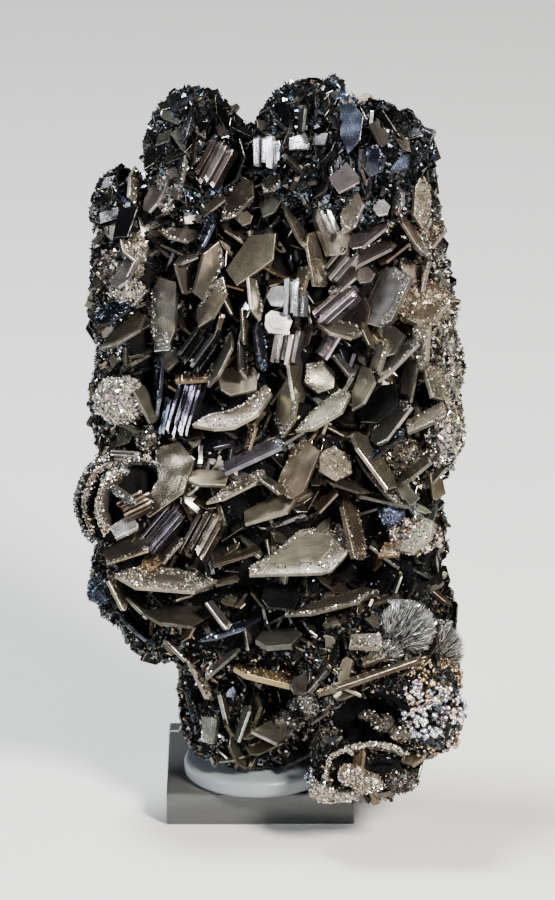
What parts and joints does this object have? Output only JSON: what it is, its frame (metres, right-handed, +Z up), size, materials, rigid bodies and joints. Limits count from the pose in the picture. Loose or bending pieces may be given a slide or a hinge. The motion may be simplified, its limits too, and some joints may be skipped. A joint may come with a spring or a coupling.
{
  "type": "silicon carbide crystal cluster",
  "caption": "Upright cluster of dark silicon carbide plates and druse, standing on a round pad and a clear square block.",
  "frame": {"origin": "middle of the square block's underside", "axes": "+Z up; the show face looks towards -Y, with +X on its right, and leans back about 20 degrees"},
  "size_m": [0.0652, 0.0578, 0.126],
  "materials": {
    "silicon_carbide": "satin",
    "frosted_pad": "satin",
    "clear_acrylic": "gloss"
  },
  "bodies": {
    "root": {"crystal_cluster": "silicon_carbide", "stand_disc": "frosted_pad", "stand_block": "clear_acrylic"}
  },
  "joints": []
}
